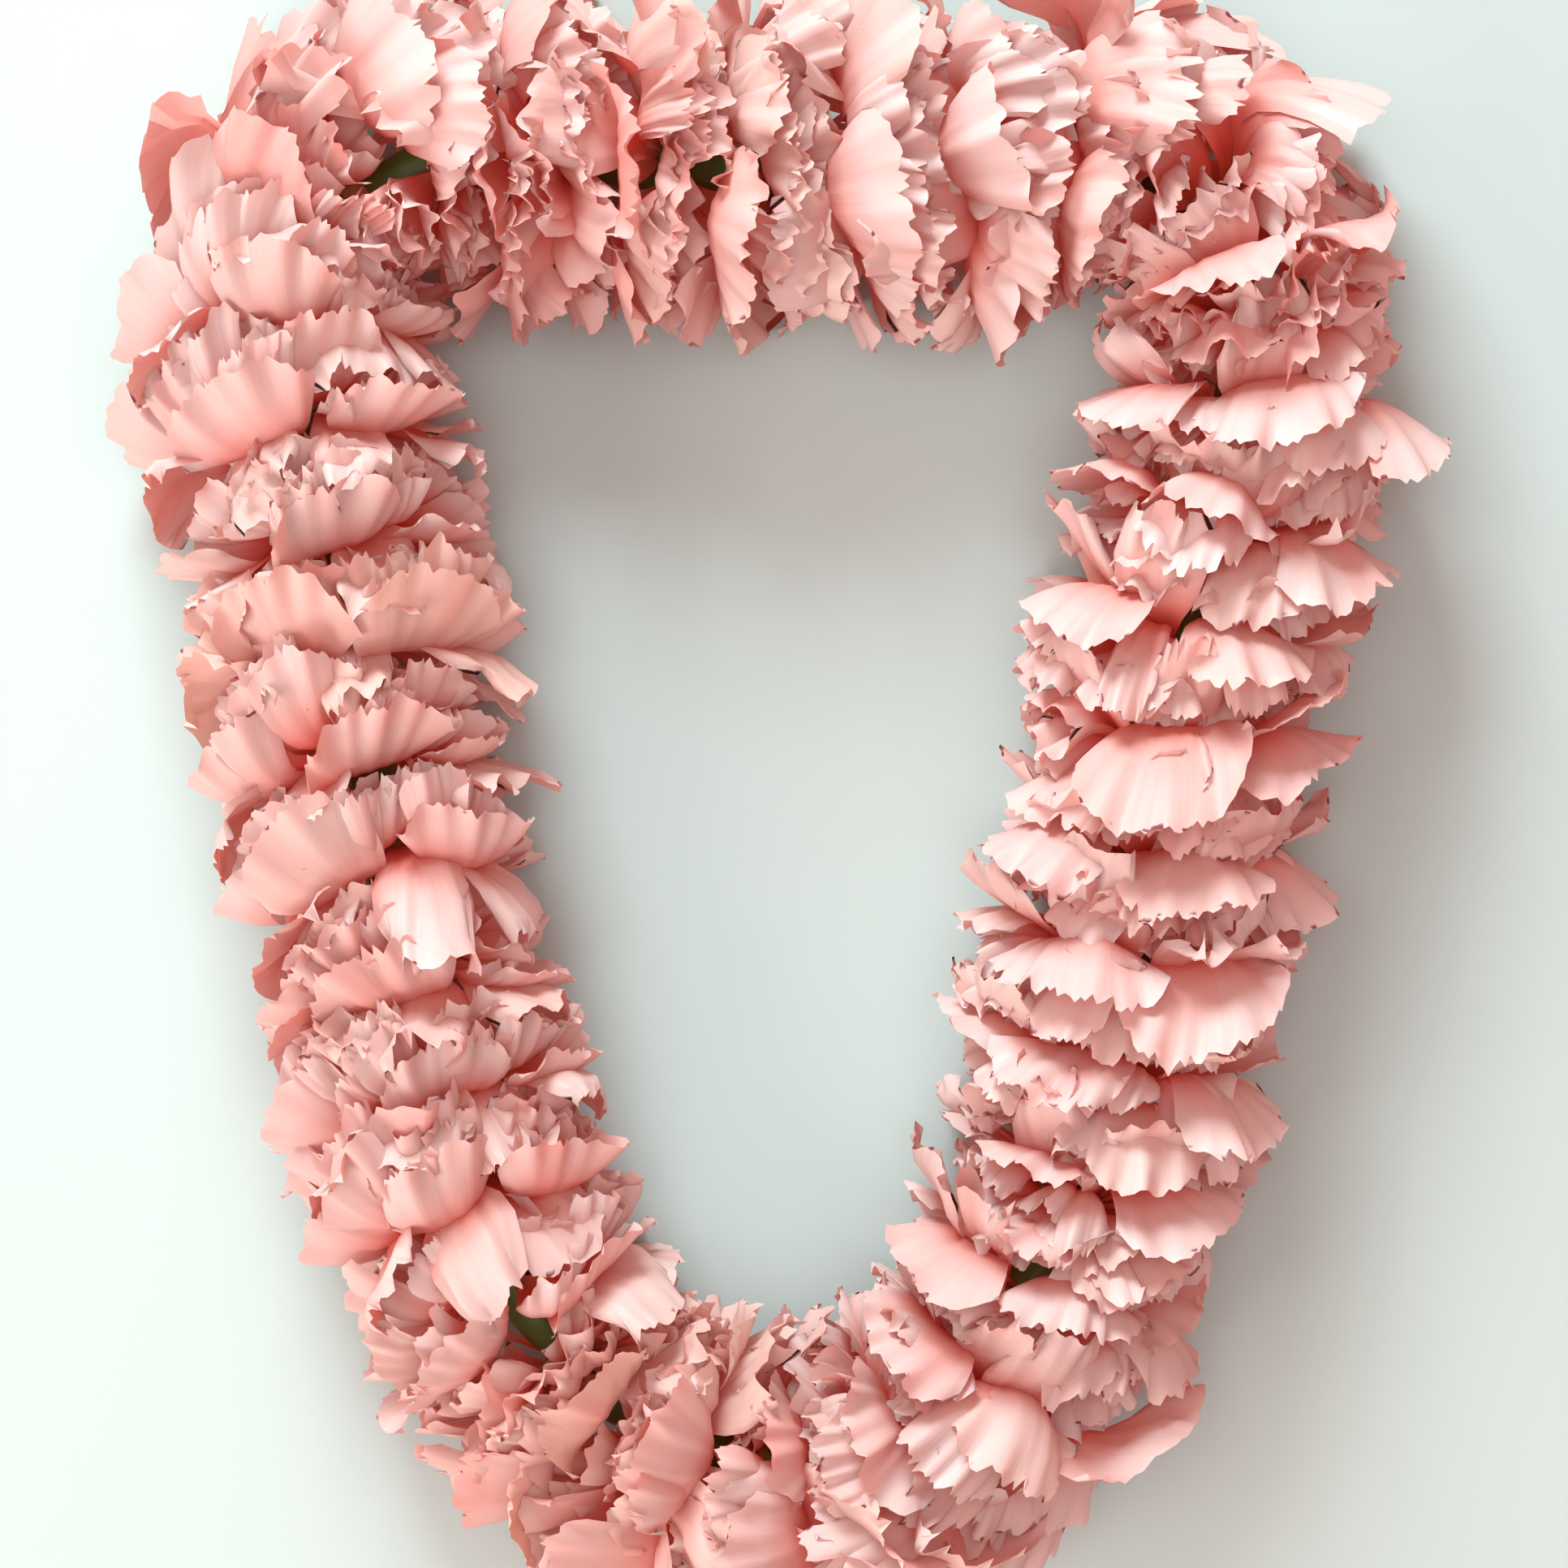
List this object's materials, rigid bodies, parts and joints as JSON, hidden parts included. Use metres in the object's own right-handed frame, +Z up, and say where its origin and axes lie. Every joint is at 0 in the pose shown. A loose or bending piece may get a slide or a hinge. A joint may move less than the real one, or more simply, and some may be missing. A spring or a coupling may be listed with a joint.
{
  "type": "fresh flower lei",
  "caption": "Closed loop of ruffled pink carnation blooms strung nose to tail on a thread, to be worn round the neck, laid flat on a surface.",
  "frame": {"origin": "middle of the lei's box, on the surface that it lies on", "axes": "+Z up from the surface, +Y from the narrow rounded end of the loop towards its wide straight end"},
  "size_m": [0.2896, 0.3696, 0.0654],
  "materials": {
    "petals": "soft thin pink petals, matt with a faint sheen",
    "calyx": "smooth fresh green calyx, satin",
    "thread": "twisted off-white cotton thread, matt"
  },
  "bodies": {
    "root": {"bloom_01": "petals", "bloom_02": "petals", "bloom_03": "petals", "bloom_04": "petals", "bloom_05": "petals", "bloom_06": "petals", "bloom_07": "petals", "bloom_08": "petals", "bloom_09": "petals", "bloom_10": "petals", "bloom_11": "petals", "bloom_12": "petals", "bloom_13": "petals", "bloom_14": "petals", "bloom_15": "petals", "bloom_16": "petals", "bloom_17": "petals", "bloom_18": "petals", "bloom_19": "petals", "bloom_20": "petals", "bloom_21": "petals", "bloom_22": "petals", "bloom_23": "petals", "bloom_24": "petals", "bloom_25": "petals", "bloom_26": "petals", "bloom_27": "petals", "bloom_28": "petals", "bloom_29": "petals", "bloom_30": "petals", "bloom_31": "petals", "bloom_32": "petals", "bloom_33": "petals", "bloom_34": "petals", "calyx_pair_01": "calyx", "calyx_pair_02": "calyx", "calyx_pair_03": "calyx", "calyx_pair_04": "calyx", "calyx_pair_05": "calyx", "calyx_pair_06": "calyx", "calyx_pair_07": "calyx", "calyx_pair_08": "calyx", "calyx_pair_09": "calyx", "calyx_pair_10": "calyx", "calyx_pair_11": "calyx", "calyx_pair_12": "calyx", "calyx_pair_13": "calyx", "calyx_pair_14": "calyx", "calyx_pair_15": "calyx", "calyx_pair_16": "calyx", "calyx_pair_17": "calyx", "thread": "thread"}
  },
  "joints": []
}
